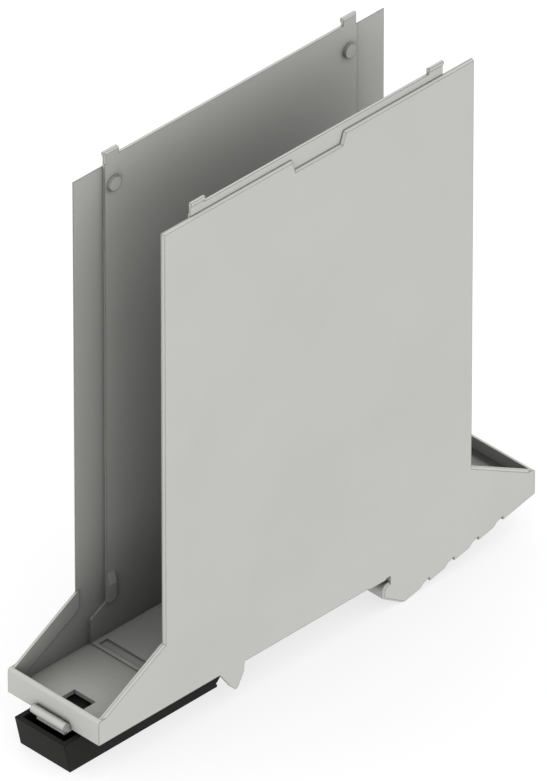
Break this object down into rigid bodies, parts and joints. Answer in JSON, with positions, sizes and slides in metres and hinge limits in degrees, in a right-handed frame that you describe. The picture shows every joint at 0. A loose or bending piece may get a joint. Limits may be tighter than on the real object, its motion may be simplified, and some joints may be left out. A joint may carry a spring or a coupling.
{
  "type": "din rail enclosure",
  "caption": "Open lower housing of a slim rail-mounted electronics module, with snap tabs on its tall side walls and a sprung sliding foot catch.",
  "frame": {"origin": "middle of the rail seat, the flat underside that rests on the rail's edges, midway between the rail's edges and between the two sides", "axes": "+Z away from the rail, +X across the rail from the sliding catch to the fixed hook, Y along the rail"},
  "size_m": [0.1103, 0.0226, 0.1097],
  "materials": {
    "housing_grey": "fine spark-eroded moulded surface, light grey",
    "catch_black": "moulded surface, black",
    "spring_steel": "drawn spring wire, plain"
  },
  "bodies": {
    "housing": {"housing_shell": "housing_grey", "catch_spring": "spring_steel"},
    "catch": {"foot_catch": "catch_black"}
  },
  "joints": [
    {"name": "catch_slide", "type": "slide", "parent": "housing", "child": "catch", "axis": [-1, 0, 0], "range_m": [0, 0.0034], "stiffness_N_per_m": 500, "springref_m": -0.003, "deforming": ["catch_spring"]}
  ]
}
